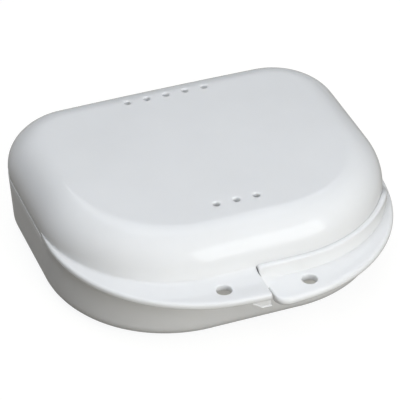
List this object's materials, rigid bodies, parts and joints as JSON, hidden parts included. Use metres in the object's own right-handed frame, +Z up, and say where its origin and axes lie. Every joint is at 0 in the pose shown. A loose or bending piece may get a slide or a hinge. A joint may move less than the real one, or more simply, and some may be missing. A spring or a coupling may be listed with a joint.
{
  "type": "orthodontic retainer case",
  "caption": "Shallow round-cornered clamshell case with a domed vented lid, a pinned rear hinge and a split front flange with hang holes, for keeping a dental retainer.",
  "frame": {"origin": "middle of the whole part's box, at the level of the table", "axes": "+X to the right across the width, -Y towards the front flange, +Z up"},
  "size_m": [0.0812, 0.0812, 0.0256],
  "materials": {
    "shell_plastic": "glossy white moulding",
    "pin_steel": "drawn wire"
  },
  "bodies": {
    "base_body": {"base": "shell_plastic", "base_flange": "shell_plastic", "hinge_pin_left": "pin_steel", "hinge_pin_right": "pin_steel"},
    "lid_body": {"lid": "shell_plastic", "lid_flange": "shell_plastic"}
  },
  "joints": [
    {"name": "lid_hinge", "type": "hinge", "parent": "base_body", "child": "lid_body", "pos_m": [0, 0.0386, 0.0152], "axis": [-1, 0, 0], "range_deg": [0, 180]}
  ]
}
